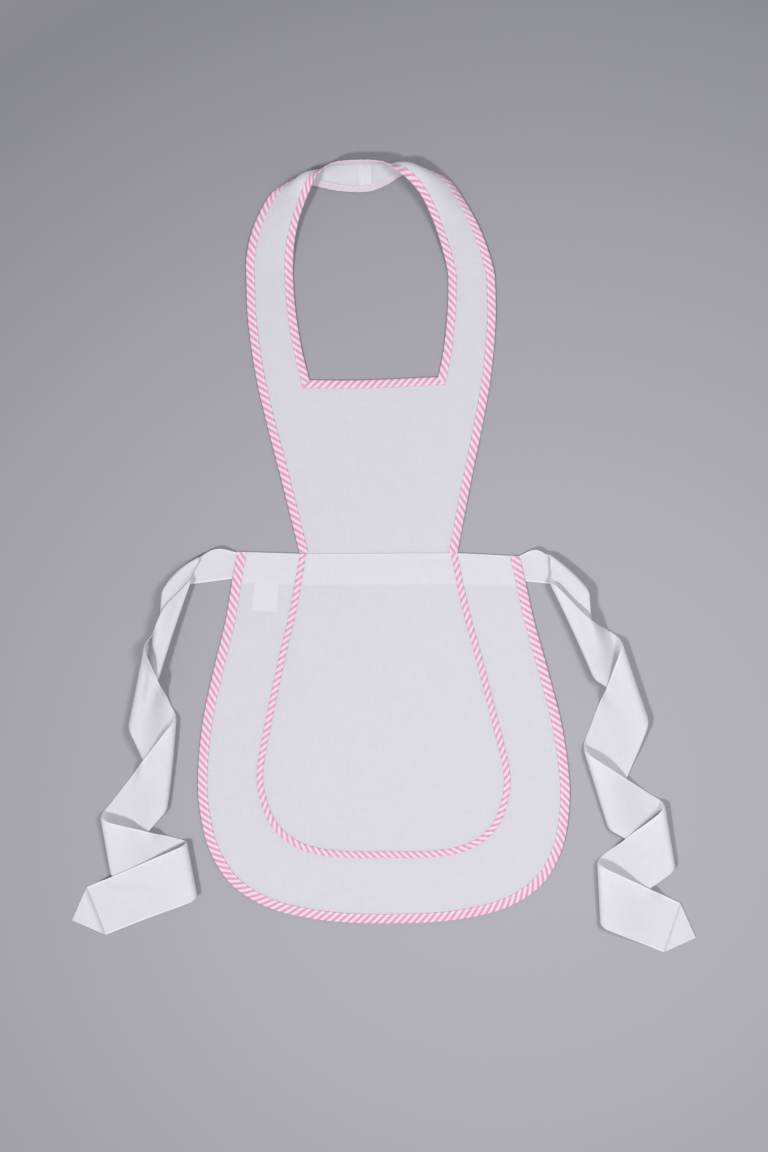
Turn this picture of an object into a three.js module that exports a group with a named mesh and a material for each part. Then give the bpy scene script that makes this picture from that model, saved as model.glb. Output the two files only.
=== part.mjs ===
// A bib apron laid out flat on its back, front face up.
//
// Millimetres. X is across the apron, Y runs up it from the hem to the neck, and Z is up, out of the
// front of the cloth. The origin is the middle of the waistband's back face.
//
// The cloth is a bib with its two straps, a bell-shaped skirt, a waistband behind the waist seam, and
// two ties. Striped bias binding wraps every outer edge and the neckline, and a narrow striped trim
// runs round the skirt in a U. The straps turn over behind the neck and meet at a centre-back seam.

import * as THREE from 'three';

// ---------------------------------------------------------------- driving dimensions

const CLOTH = 0.4;                  // thickness of one layer of cloth
const GAP = 0.3;                    // air between layers that touch in the real apron
const BINDING_HALF = 1.5 * CLOTH + GAP;   // half the thickness of an edge with its binding
const MID = BINDING_HALF;           // height of the cloth's middle above the table
const WEB = CLOTH + GAP;            // how far a binding stands out past the raw edge it wraps

const SKIRT_BINDING = 10.3;         // how far each binding reaches in from the raw edge
const BIB_BINDING = 9.3;
const NECK_BINDING = 8.8;
const TRIM_WIDTH = 7.5;             // width of the U-shaped trim

const WAIST_Y = 18;                 // the seam between bib and skirt
const ROLL_Y = 335;                 // where the straps stop lying flat and start to turn over
const NECKLINE_Y = 217.4;           // the raw edge at the bottom of the neck opening
const NECKLINE_TILT = 0.023;        // how much that edge rises per unit of X

const WAISTBAND = { height: 2 * WAIST_Y, endGap: 0.6 };
const LABEL = { width: 28.5, length: 30, x: -128, y: -20, tilt: THREE.MathUtils.degToRad(-5) };

const EDGE_LIFT = 0.5;              // keeps the tilted outer binding of the straps off the table
const BACK_WIDTH = 40;              // a strap at the centre-back seam
const BACK_SEAM = 8;                // which of the loop's pairs of points is the centre-back seam

const MAX_SLANT = 1.2;              // how far a tie may run along a fold as it goes round it

// The apron lies a little askew. Its centre line, from the hem up to the shoulders, as [X, Y].
const CENTRE_LINE = [[10, -404], [2.7, -150], [-0.5, WAIST_Y], [-9.55, ROLL_Y]];

// Half widths across the apron at its raw edges, each with its Y.
const SKIRT_SIDE = [
  [161, WAIST_Y], [167.4, -14], [176.1, -60], [189.6, -112], [205.3, -180], [212.1, -245],
  [208.9, -290], [200.3, -323.5], [182.5, -355], [157, -376.6], [124.7, -391.3], [82, -400.5],
  [40, -404.5], [0, -405.4],
];
const BIB_SIDE = [
  [89.8, WAIST_Y], [106.8, 96], [123.9, 170], [134.6, 225], [141.3, 286], [141.7, ROLL_Y],
];
const NECK_SIDE = [[74.2, NECKLINE_Y], [82.2, 254], [87.9, 300], [89.4, ROLL_Y]];
const TRIM_SIDE = [
  [86.2, WAIST_Y], [99, -48], [112.1, -100], [133, -190], [141.3, -234], [138.6, -262],
  [128, -290.5], [107, -311.5], [76.5, -323.2], [36, -327], [0, -326.8],
];

// The turned-over part of the straps: pairs of points on the inner and outer edges, going from the
// left shoulder round the back of the neck to the right shoulder. The outer edge stays on the table.
const LOOP = [
  { inner: [-98.7, 350, 1.5], outer: [-151.5, 350] },
  { inner: [-97.2, 371.1, 5], outer: [-147.3, 377] },
  { inner: [-92.3, 395, 11], outer: [-137.7, 404] },
  { inner: [-85.8, 412.7, 17], outer: [-122, 430] },
  { inner: [-79.2, 427.8, 21], outer: [-101, 442] },
  { inner: [-70.6, 445, 24], outer: [-75.5, 438.5] },
  { inner: [-51.4, 459.4, 24], outer: [-46, 432.5] },
  { inner: [-14, 462.9, 22], outer: [-14.2, 431.5] },
  { inner: [7, 459.7, 23], outer: [7, 438.5] },
  { inner: [20.5, 451.4, 24], outer: [26.4, 450] },
  { inner: [33, 441.8, 22], outer: [47, 455.5] },
  { inner: [46.7, 426.6, 18], outer: [76.8, 446.5] },
  { inner: [58.2, 406.1, 12], outer: [97.5, 421] },
  { inner: [70.4, 374.3, 5], outer: [118, 382] },
];

// Each tie is a strip folded to and fro. A fold is where its upper edge (p) and lower edge (q) turn
// back, with the radius of the soft roll at each, and lift raises the fold above the layers below it.
const LEFT_TIE = {
  start: { p: [-163.6, 15.6], q: [-170.4, -10.6] },
  folds: [
    { p: [-206.5, 12], q: [-247.2, -23.2], rolls: [2.5, 5], lift: 0.3 },
    { p: [-215.7, -15.2], q: [-250.1, -127.4], rolls: [3, 5], lift: 2 },
    { p: [-267.2, -90.7], q: [-285.5, -177.8], rolls: [6, 7] },
    { p: [-230.6, -170.9], q: [-241.3, -275.1], rolls: [7, 5] },
    { p: [-318.2, -282], q: [-306.8, -349.5], rolls: [8, 4] },
    { p: [-218.6, -311.7], q: [-206.7, -374.7], rolls: [7, 6] },
  ],
  end: { p: [-334.6, -364.4], q: [-312.8, -418.9], tip: [-351.2, -402.2] },
};
const RIGHT_TIE = {
  start: { p: [164.8, 13.2], q: [170.2, -13.8] },
  folds: [
    { p: [195, 16.5], q: [236.6, -20.9], rolls: [3, 6], lift: 0.3 },
    { p: [194, -16.3], q: [244.6, -126.2], rolls: [4, 4], lift: 2 },
    { p: [277.2, -81.6], q: [307.7, -170.9], rolls: [8, 7] },
    { p: [233.2, -206.4], q: [261.2, -295.7], rolls: [7, 4] },
    { p: [326.4, -268.2], q: [338.8, -340.4], rolls: [8, 5] },
    { p: [248.6, -334.6], q: [252.4, -406.8], rolls: [7, 5] },
  ],
  end: { p: [344.8, -382.7], q: [325.8, -438.8], tip: [362.6, -422.2] },
};

const whiteCotton = new THREE.MeshStandardMaterial({ color: 0xeeedf2, roughness: 0.92 });
const waistbandCotton = new THREE.MeshStandardMaterial({ color: 0xf1f0f4, roughness: 0.92 });
const stripedBinding = new THREE.MeshStandardMaterial({ color: 0xf2b4cd, roughness: 0.88 });
const labelSatin = new THREE.MeshStandardMaterial({ color: 0xf8f8fa, roughness: 0.6 });

// ---------------------------------------------------------------- outlines

// Where the centre line is at a Y.
function centreAt(y) {
  const above = CENTRE_LINE.slice(1, -1).findIndex((point) => point[1] >= y);
  const i = above < 0 ? CENTRE_LINE.length - 2 : above;
  const [[x0, y0], [x1, y1]] = [CENTRE_LINE[i], CENTRE_LINE[i + 1]];
  return THREE.MathUtils.mapLinear(y, y0, y1, x0, x1);
}

// A smooth line through [half width, Y] points, as points on the right-hand (+1) or left-hand (-1) side.
function sideLine(stations, side, spacing) {
  const line = new THREE.SplineCurve(stations.map(([x, y]) => new THREE.Vector2(x, y)));
  const count = Math.round(line.getLength() / spacing);
  return line.getSpacedPoints(count).map(({ x, y }) => new THREE.Vector2(side * x + centreAt(y), y));
}

// The whole line from the left-hand end, through the middle, to the right-hand end.
function bothSides(stations, spacing) {
  const right = sideLine(stations, 1, spacing);
  const left = sideLine(stations, -1, spacing);
  return [...left, ...right.reverse().slice(1)];
}

// Directions across a line at each of its points, to the left of the way it runs.
function leftNormals(points) {
  return points.map((point, i) => {
    const before = points[Math.max(i - 1, 0)];
    const after = points[Math.min(i + 1, points.length - 1)];
    const along = after.clone().sub(before).normalize();
    return new THREE.Vector2(-along.y, along.x);
  });
}

// One side of the neck opening, starting from its tilted bottom edge.
function neckLine(side) {
  const line = sideLine(NECK_SIDE, side, 20);
  line[0].y += NECKLINE_TILT * line[0].x;
  return line;
}

const SKIRT_EDGE = bothSides(SKIRT_SIDE, 13);
const TRIM_LINE = bothSides(TRIM_SIDE, 14);
const LEFT_BIB_EDGE = sideLine(BIB_SIDE, -1, 24);
const RIGHT_BIB_EDGE = sideLine(BIB_SIDE, 1, 24);
const LEFT_NECK_EDGE = neckLine(-1);
const RIGHT_NECK_EDGE = neckLine(1);

// ---------------------------------------------------------------- solids

// A closed solid carried along a list of rows. Its section is the two faces of a sheet, point for
// point, in (a, n), and each row is a function that puts (a, n) in space. Quads are split along the
// same diagonal whichever way the section runs, so that nested sheets stay nested where they twist.
function sweptSolid(rows, [oneFace, otherFace]) {
  const ring = [...oneFace, ...[...otherFace].reverse()];
  const positions = rows.flatMap((row) => ring.flatMap(([a, n]) => row(a, n).toArray()));
  const indices = [];
  for (let i = 0; i < rows.length - 1; i += 1) {
    for (let j = 0; j < ring.length; j += 1) {
      const k = (j + 1) % ring.length;
      const [here, next] = [i * ring.length + j, i * ring.length + k];
      const [aboveHere, aboveNext] = [here + ring.length, next + ring.length];
      if (ring[k][0] > ring[j][0]) {
        indices.push(here, next, aboveNext, here, aboveNext, aboveHere);
      } else {
        indices.push(here, next, aboveHere, next, aboveNext, aboveHere);
      }
    }
  }
  const last = (rows.length - 1) * ring.length;
  for (let i = 0; i < oneFace.length - 1; i += 1) {
    const [a, b, c, d] = [i, i + 1, ring.length - 2 - i, ring.length - 1 - i];
    indices.push(a, c, b, a, d, c);
    indices.push(last + a, last + b, last + c, last + a, last + c, last + d);
  }
  const geometry = new THREE.BufferGeometry();
  geometry.setAttribute('position', new THREE.Float32BufferAttribute(positions, 3));
  geometry.setIndex(signedVolume(positions, indices) > 0 ? indices : indices.reverse());
  return geometry;
}

function signedVolume(positions, indices) {
  const corner = (i) => new THREE.Vector3().fromArray(positions, 3 * indices[i]);
  let volume = 0;
  for (let i = 0; i < indices.length; i += 3) {
    volume += corner(i).dot(corner(i + 1).cross(corner(i + 2))) / 6;
  }
  return volume;
}

// A strip's section: flat between two heights, with a point at each of its columns.
const stripSection = (columns, low, high) => [columns.map((a) => [a, low]), columns.map((a) => [a, high])];

// A binding's section: two legs joined round the outside of the raw edge, which is at a = 0. The legs
// have a point at each of their columns.
function bindingSection(columns) {
  const face = (turn, n) => [
    ...[...columns].reverse().map((a) => [a, -n]),
    [turn, -n],
    [turn, n],
    ...columns.map((a) => [a, n]),
  ];
  return [face(-WEB, BINDING_HALF), face(-GAP, BINDING_HALF - CLOTH)];
}

// Rows along a line on the table. Each inward direction points from the raw edge into the cloth.
function flatRows(points, inward, height = MID) {
  return points.map((point, i) => (a, n) => new THREE.Vector3(
    point.x + inward[i].x * a,
    point.y + inward[i].y * a,
    height + n,
  ));
}

function panel(outline) {
  const geometry = new THREE.ExtrudeGeometry(new THREE.Shape(outline), { depth: CLOTH, bevelEnabled: false });
  return geometry.translate(0, 0, MID - CLOTH / 2);
}

const reversed = (vectors) => vectors.map((v) => v.clone().negate());

// ---------------------------------------------------------------- skirt

function skirtPanel() {
  const outline = SKIRT_EDGE.map((point) => point.clone());
  outline[0].y -= GAP / 2;
  outline.at(-1).y -= GAP / 2;
  return panel(outline);
}

function skirtBinding() {
  return sweptSolid(flatRows(SKIRT_EDGE, leftNormals(SKIRT_EDGE)), bindingSection([SKIRT_BINDING]));
}

// Both ends of the trim are cut level, just below the waist seam.
function skirtTrim() {
  const inward = leftNormals(TRIM_LINE);
  inward[0] = new THREE.Vector2(1, 0);
  inward[inward.length - 1] = new THREE.Vector2(-1, 0);
  const rows = flatRows(TRIM_LINE, inward, MID + CLOTH / 2 + GAP);
  return sweptSolid(rows, stripSection([-TRIM_WIDTH / 2, TRIM_WIDTH / 2], 0, CLOTH));
}

// The waistband lies behind the skirt and stops at the back leg of the skirt's binding.
function waistband() {
  const halfHeight = WAISTBAND.height / 2;
  const clear = SKIRT_BINDING + WAISTBAND.endGap;
  const [topX, lowX] = [SKIRT_SIDE[0][0] - clear, SKIRT_SIDE[1][0] - clear];
  const outline = [
    [topX, halfHeight], [-topX, halfHeight], [-lowX, -halfHeight], [lowX, -halfHeight],
  ].map(([x, y]) => new THREE.Vector2(x + centreAt(y), y));
  return new THREE.ExtrudeGeometry(new THREE.Shape(outline), { depth: CLOTH, bevelEnabled: false });
}

function careLabel() {
  const geometry = new THREE.BoxGeometry(LABEL.width, LABEL.length, CLOTH);
  return geometry.translate(0, -LABEL.length / 2, CLOTH / 2);
}

// ---------------------------------------------------------------- bib

function bibPanel() {
  const outline = [
    ...LEFT_BIB_EDGE,
    ...[...LEFT_NECK_EDGE].reverse(),
    ...RIGHT_NECK_EDGE,
    ...[...RIGHT_BIB_EDGE].reverse(),
  ].map((point) => point.clone());
  outline[0].y += GAP / 2;
  outline.at(-1).y += GAP / 2;
  return panel(outline);
}

// A strip of binding along a flat edge. ends may move its first and last rows to meet a neighbour.
function edgeBinding(points, inward, width) {
  return sweptSolid(flatRows(points, inward), bindingSection([width]));
}

function bibBinding(edge, side) {
  const normals = side < 0 ? reversed(leftNormals(edge)) : leftNormals(edge);
  const points = edge.map((point) => point.clone());
  points[0].y += GAP;
  normals[0] = new THREE.Vector2(-side, 0);
  normals[normals.length - 1] = new THREE.Vector2(-side, 0);
  return edgeBinding(points, normals, BIB_BINDING);
}

// The direction of the mitre between two edges, from the directions into the cloth at each.
const mitre = (first, second) => first.clone().add(second).divideScalar(1 + first.dot(second));

function neckSideInward(edge, side) {
  const normals = side < 0 ? leftNormals(edge) : reversed(leftNormals(edge));
  normals[normals.length - 1] = new THREE.Vector2(side, 0);
  return normals;
}

const BELOW_NECKLINE = new THREE.Vector2(NECKLINE_TILT, -1).normalize();

function neckSideBinding(edge, side) {
  const inward = neckSideInward(edge, side);
  const points = edge.map((point) => point.clone());
  const corner = mitre(inward[0], BELOW_NECKLINE);
  points[0].y += GAP;
  inward[0] = corner;
  return edgeBinding(points, inward, NECK_BINDING);
}

function neckBottomBinding() {
  const left = LEFT_NECK_EDGE[0].clone();
  const right = RIGHT_NECK_EDGE[0].clone();
  const inward = [
    mitre(neckSideInward(LEFT_NECK_EDGE, -1)[0], BELOW_NECKLINE),
    mitre(neckSideInward(RIGHT_NECK_EDGE, 1)[0], BELOW_NECKLINE),
  ];
  left.x += GAP / 2;
  right.x -= GAP / 2;
  return edgeBinding([left, right], inward, NECK_BINDING);
}

// ---------------------------------------------------------------- the straps behind the neck

// A pair of points across a flat strap, from the half widths of its inner and outer edges there.
function flatPair(side, innerHalf, outerHalf, y) {
  const centre = centreAt(y);
  return { inner: [side * innerHalf + centre, y, 0], outer: [side * outerHalf + centre, y, 0] };
}

// The strap where it leaves the bib, and a pair below that to start the curve off straight.
const shoulderPair = (side) => flatPair(side, NECK_SIDE.at(-1)[0], BIB_SIDE.at(-1)[0], ROLL_Y + GAP);
const pairBelow = (side) => flatPair(side, NECK_SIDE.at(-2)[0], BIB_SIDE.at(-2)[0], NECK_SIDE.at(-2)[1]);

const STRAP_WIDTH = BIB_SIDE.at(-1)[0] - NECK_SIDE.at(-1)[0];
const TURNED_PAIRS = LOOP.map(({ inner, outer }) => ({ inner, outer: [...outer, EDGE_LIFT] }));
const LOOP_PAIRS = [pairBelow(-1), shoulderPair(-1), ...TURNED_PAIRS, shoulderPair(1), pairBelow(1)];

function edgeCurve(edge) {
  return new THREE.CatmullRomCurve3(LOOP_PAIRS.map((pair) => {
    const [x, y, z] = pair[edge];
    return new THREE.Vector3(x, y, z + MID);
  }));
}

const LOOP_INNER = edgeCurve('inner');
const LOOP_OUTER = edgeCurve('outer');
const BACK_SEAM_PAIR = BACK_SEAM + 1;
const LAST_PAIR = LOOP_PAIRS.length - 1;

// The strap's width narrows towards the centre-back seam.
function strapWidthAt(pair) {
  const fromBack = Math.min(Math.abs(pair - BACK_SEAM_PAIR) / (BACK_SEAM_PAIR - 1), 1);
  return THREE.MathUtils.lerp(BACK_WIDTH, STRAP_WIDTH, fromBack ** 2);
}

// The strap across its width at a pair: an arc from inner to outer edge that is as long as the strap
// is wide, so it bows out wherever its edges come closer together than that.
function strapArc(pair) {
  const step = 0.02;
  const inner = LOOP_INNER.getPoint(pair / LAST_PAIR);
  const outer = LOOP_OUTER.getPoint(pair / LAST_PAIR);
  const middle = inner.clone().add(outer).multiplyScalar(0.5);
  const ahead = LOOP_INNER.getPoint((pair + step) / LAST_PAIR).add(LOOP_OUTER.getPoint((pair + step) / LAST_PAIR));
  const behind = LOOP_INNER.getPoint((pair - step) / LAST_PAIR).add(LOOP_OUTER.getPoint((pair - step) / LAST_PAIR));
  const across = outer.clone().sub(inner);
  const chord = across.length();
  const slack = Math.max(strapWidthAt(pair) / chord - 1, 0);
  const bow = chord * Math.sqrt(0.375 * slack);
  const front = ahead.sub(behind).cross(across).normalize();
  return new THREE.QuadraticBezierCurve3(inner, middle.addScaledVector(front, 2 * bow), outer);
}

// A point of the strap, a millimetres from its inner edge and n in front of the middle of its cloth.
function strapRow(pair) {
  const step = 0.05;
  const arcs = [pair - step, pair, pair + step].map(strapArc);
  return (a, n) => {
    const share = a / STRAP_WIDTH;
    const [behind, here, ahead] = arcs.map((arc) => arc.getPoint(share));
    const across = arcs[1].getPoint(share + 0.01).sub(arcs[1].getPoint(share - 0.01));
    const normal = ahead.sub(behind).cross(across).normalize();
    return here.addScaledVector(normal, n);
  };
}

function strapRows(from, to, perPair = 3) {
  const count = Math.round((to - from) * perPair);
  return Array.from({ length: count + 1 }, (_, i) => strapRow(from + (to - from) * i / count));
}

const NECK_COLUMNS = [NECK_BINDING / 2, NECK_BINDING];
const OUTER_COLUMNS = [BIB_BINDING / 2, BIB_BINDING];
const STRAP_COLUMNS = [
  0, ...NECK_COLUMNS,
  0.36 * STRAP_WIDTH, 0.57 * STRAP_WIDTH,
  ...OUTER_COLUMNS.map((a) => STRAP_WIDTH - a).reverse(), STRAP_WIDTH,
];
const SEAM_HALF_GAP = 0.008;        // in pairs, so a few tenths of a millimetre of the strap
const LEFT_ROWS = strapRows(1, BACK_SEAM_PAIR - SEAM_HALF_GAP);
const RIGHT_ROWS = strapRows(BACK_SEAM_PAIR + SEAM_HALF_GAP, LAST_PAIR - 1);
const ALL_ROWS = [...LEFT_ROWS, ...RIGHT_ROWS];

const neckLoopHalf = (rows) => sweptSolid(rows, stripSection(STRAP_COLUMNS, -CLOTH / 2, CLOTH / 2));
const loopInnerBinding = () => sweptSolid(ALL_ROWS, bindingSection(NECK_COLUMNS));

function loopOuterBinding() {
  const fromOuterEdge = ([a, n]) => [STRAP_WIDTH - a, n];
  return sweptSolid(ALL_ROWS, bindingSection(OUTER_COLUMNS).map((face) => face.map(fromOuterEdge)));
}

// ---------------------------------------------------------------- ties

const easeInOut = (s) => s * s * s * (s * (6 * s - 15) + 10);

// The two edges of a tie, row by row: round each fold in a soft roll, then down to the table on the way
// to the next fold, so each stretch lies over the one before.
function tieRows(tie) {
  const rows = [{ p: [...tie.start.p, 0], q: [...tie.start.q, 0] }];
  const places = [tie.start, ...tie.folds, tie.end];
  tie.folds.forEach((fold, i) => {
    const turned = foldRow(places[i], fold, places[i + 2]);
    rows.push(...stretch(rows.at(-1), turned(-90)));
    for (const degrees of [-90, -45, 0, 45, 90]) rows.push(turned(degrees));
  });
  const end = { p: [...tie.end.p, 0], q: [...tie.end.q, 0] };
  rows.push(...stretch(rows.at(-1), end), end);
  rows.push(pointRow(tie.end, 0.5), pointRow(tie.end, 0.97));
  return rows;
}

const middleOf = ({ p, q }) => new THREE.Vector2((p[0] + q[0]) / 2, (p[1] + q[1]) / 2);

// The row at an angle round a fold. The tie meets the fold at a slant, so it moves along the fold as
// it goes round.
function foldRow(before, fold, after) {
  const axis = new THREE.Vector2(fold.q[0] - fold.p[0], fold.q[1] - fold.p[1]).normalize();
  const coming = middleOf(fold).sub(middleOf(before));
  const going = middleOf(after).sub(middleOf(fold));
  const out = new THREE.Vector2(axis.y, -axis.x);
  if (out.dot(coming) - out.dot(going) < 0) out.negate();
  const meanSlant = (coming.dot(axis) / coming.dot(out) - going.dot(axis) / going.dot(out)) / 2;
  const slant = THREE.MathUtils.clamp(meanSlant, -MAX_SLANT, MAX_SLANT);
  return (degrees) => {
    const angle = THREE.MathUtils.degToRad(degrees);
    const place = ([x, y], radius) => [
      x + radius * ((Math.cos(angle) - 1) * out.x + slant * angle * axis.x),
      y + radius * ((Math.cos(angle) - 1) * out.y + slant * angle * axis.y),
      (fold.lift ?? 0) + radius * (1 + Math.sin(angle)),
    ];
    return { p: place(fold.p, fold.rolls[0]), q: place(fold.q, fold.rolls[1]) };
  };
}

// The rows between one row and another, not counting either.
function stretch(from, to) {
  return [0.25, 0.5, 0.75].map((s) => {
    const place = (a, b) => [
      THREE.MathUtils.lerp(a[0], b[0], s),
      THREE.MathUtils.lerp(a[1], b[1], s),
      THREE.MathUtils.lerp(a[2], b[2], easeInOut(s)),
    ];
    return { p: place(from.p, to.p), q: place(from.q, to.q) };
  });
}

// A row across the point at a tie's end, a share of the way from its last crease to its tip.
function pointRow({ p, q, tip }, share) {
  const place = (from) => [
    THREE.MathUtils.lerp(from[0], tip[0], share),
    THREE.MathUtils.lerp(from[1], tip[1], share),
    0,
  ];
  return { p: place(p), q: place(q) };
}

function tieSolid(tie) {
  const rows = tieRows(tie).map(({ p, q }) => ({ p: new THREE.Vector3(...p), q: new THREE.Vector3(...q) }));
  const centre = ({ p, q }) => p.clone().add(q).multiplyScalar(0.5);
  const restingOnTable = new THREE.Vector3(0, 0, CLOTH / 2);
  const mappers = rows.map((row, i) => {
    const along = centre(rows[Math.min(i + 1, rows.length - 1)]).sub(centre(rows[Math.max(i - 1, 0)]));
    const normal = along.cross(row.q.clone().sub(row.p)).normalize();
    return (a, n) => row.p.clone().lerp(row.q, a).addScaledVector(normal, n).add(restingOnTable);
  });
  return sweptSolid(mappers, stripSection([0, 1], -CLOTH / 2, CLOTH / 2));
}

// ---------------------------------------------------------------- the apron

const apron = new THREE.Group();

function add(name, geometry, material) {
  geometry.computeVertexNormals();
  const mesh = new THREE.Mesh(geometry, material);
  mesh.name = name;
  apron.add(mesh);
  return mesh;
}

add('skirt_panel', skirtPanel(), whiteCotton);
add('skirt_binding', skirtBinding(), stripedBinding);
add('skirt_trim', skirtTrim(), stripedBinding);
add('waistband', waistband(), waistbandCotton);

const label = add('care_label', careLabel(), labelSatin);
label.position.set(LABEL.x, LABEL.y, 0);
label.rotation.z = LABEL.tilt;

add('bib_panel', bibPanel(), whiteCotton);
add('bib_binding_left', bibBinding(LEFT_BIB_EDGE, -1), stripedBinding);
add('bib_binding_right', bibBinding(RIGHT_BIB_EDGE, 1), stripedBinding);
add('neckline_binding_left', neckSideBinding(LEFT_NECK_EDGE, -1), stripedBinding);
add('neckline_binding_right', neckSideBinding(RIGHT_NECK_EDGE, 1), stripedBinding);
add('neckline_binding_bottom', neckBottomBinding(), stripedBinding);

add('neck_loop_left', neckLoopHalf(LEFT_ROWS), whiteCotton);
add('neck_loop_right', neckLoopHalf(RIGHT_ROWS), whiteCotton);
add('loop_inner_binding', loopInnerBinding(), stripedBinding);
add('loop_outer_binding', loopOuterBinding(), stripedBinding);

add('tie_left', tieSolid(LEFT_TIE), whiteCotton);
add('tie_right', tieSolid(RIGHT_TIE), whiteCotton);

export default apron;
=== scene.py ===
import math

import bpy
import numpy as np
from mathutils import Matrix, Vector, noise
from mathutils.geometry import delaunay_2d_cdt


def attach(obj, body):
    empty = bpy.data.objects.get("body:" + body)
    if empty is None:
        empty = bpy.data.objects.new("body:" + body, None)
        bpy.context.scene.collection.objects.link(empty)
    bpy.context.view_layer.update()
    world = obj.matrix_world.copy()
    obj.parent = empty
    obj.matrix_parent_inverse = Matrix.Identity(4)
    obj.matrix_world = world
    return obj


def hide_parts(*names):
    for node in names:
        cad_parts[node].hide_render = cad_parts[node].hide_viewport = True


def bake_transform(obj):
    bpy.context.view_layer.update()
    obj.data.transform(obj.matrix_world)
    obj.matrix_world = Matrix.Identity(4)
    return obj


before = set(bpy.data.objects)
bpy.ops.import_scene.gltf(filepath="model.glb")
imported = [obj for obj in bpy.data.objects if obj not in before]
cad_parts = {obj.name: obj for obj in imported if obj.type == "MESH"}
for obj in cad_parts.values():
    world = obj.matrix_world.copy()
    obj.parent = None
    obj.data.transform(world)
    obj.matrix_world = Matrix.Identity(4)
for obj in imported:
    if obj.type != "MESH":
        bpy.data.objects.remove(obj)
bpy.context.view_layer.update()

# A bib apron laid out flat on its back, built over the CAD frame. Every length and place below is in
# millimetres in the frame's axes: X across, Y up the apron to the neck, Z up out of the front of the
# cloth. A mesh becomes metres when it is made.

MM = 0.001

# ---------------------------------------------------------------- driving dimensions

WAIST_Y = 18                # the seam between bib and skirt
ROLL_Y = 335                # where the straps stop lying flat and start to turn over
NECKLINE_Y = 217.4          # the raw edge at the bottom of the neck opening
NECKLINE_TILT = 0.023       # how much that edge rises per unit of X
NECKLINE_SAG = 1.8          # how far it dips between its ends
NECKLINE_LOW = 0.4          # the share of the way across, from the left, where it dips most

REST_GAP = 1.1              # how far the relaxed apron's back stands off the floor, on average
BROAD_WAVE = 0.6            # how far its broad waves rise and fall about that
SMALL_WAVE = 0.3            # and its smaller ones
CLOTH_Z = 0.9               # from its back up to the middle of the main cloth
LAYER = 0.3                 # from one layer of cloth to the next
FOLD_OVER = 0.6             # how far a binding stands out past the raw edge it wraps
FOLD_COLUMN = 8             # the point of a binding's section that is on that fold
STITCH_INSET = 0.9          # from a binding's sewn edge to its row of stitches

SKIRT_BINDING = 10.3        # how far each binding reaches in from the raw edge
BIB_BINDING = 9.3
NECK_BINDING = 8.8
TRIM_WIDTH = 7.5
TRIM_SLANT = -1.11          # the slant of the trim's stripes, where a binding's is 1 or -1

BACK_WIDTH = 40             # a strap at the centre-back seam
TIE_WIDTH = 60
HEM = 1.9                   # the narrow hem along a tie's edges

STRIPE_PITCH = 8.4          # from one pink stripe to the next, along the binding

SPACING = 5                 # from one point of mesh to the next, along an edge or inside a panel

# The apron lies a little askew. Its centre line, from the hem up to the shoulders, as X and Y.
CENTRE_LINE = [(10, -404), (2.7, -150), (-0.5, WAIST_Y), (-9.55, ROLL_Y)]

# Half widths across the apron at its raw edges, each with its Y.
SKIRT_SIDE = [
    (161, WAIST_Y), (167.4, -14), (176.1, -60), (189.6, -112), (205.3, -180), (212.1, -245),
    (208.9, -290), (200.3, -323.5), (182.5, -355), (157, -376.6), (124.7, -391.3), (82, -400.5),
    (40, -404.5), (0, -405.4),
]
BIB_SIDE = [
    (89.8, WAIST_Y), (106.8, 96), (123.9, 170), (134.6, 225), (141.3, 286), (141.7, ROLL_Y),
]
NECK_SIDE = [(74.2, NECKLINE_Y), (82.2, 254), (87.9, 300), (89.4, ROLL_Y)]
STRAP_WIDTH = BIB_SIDE[-1][0] - NECK_SIDE[-1][0]
TRIM_SIDE = [
    (86.2, WAIST_Y), (99, -48), (112.1, -100), (133, -190), (141.3, -234), (138.6, -262),
    (128, -290.5), (107, -311.5), (76.5, -323.2), (36, -327), (0, -326.8),
]

# The top of the skirt wanders from straight: X, and how far up. It dies away down the skirt.
WAIST_LINE = [(-161, 1.5), (-89, -0.8), (86, 0.2), (161, -3.6)]
WAIST_REACH = 60

BIB_FOOT = 88.5             # half the width of the bib's lower edge, which is tucked behind the skirt
TUCK = 6                    # how far it goes down behind
TUCK_START = 14             # how far above the waist it starts to go down to that layer

# Pairs of points on the inner and outer edges of the turned-over straps, from the left shoulder
# round the back of the neck to the right shoulder.
LOOP = [
    ((-98.7, 350, 1.5), (-151.5, 350)), ((-97.2, 371.1, 5), (-147.3, 377)),
    ((-92.3, 395, 11), (-137.7, 404)), ((-85.8, 412.7, 17), (-122, 430)),
    ((-79.2, 427.8, 21), (-101, 442)), ((-70.6, 445, 24), (-75.5, 438.5)),
    ((-51.4, 459.4, 24), (-46, 432.5)), ((-14, 462.9, 22), (-14.2, 431.5)),
    ((7, 459.7, 23), (7, 438.5)), ((20.5, 451.4, 24), (26.4, 450)),
    ((33, 441.8, 22), (47, 455.5)), ((46.7, 426.6, 18), (76.8, 446.5)),
    ((58.2, 406.1, 12), (97.5, 421)), ((70.4, 374.3, 5), (118, 382)),
]
BACK_SEAM = 7               # which of those pairs is the centre-back seam
EDGE_LIFT = 0.5             # keeps the tilted outer binding of the straps off the floor

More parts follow.
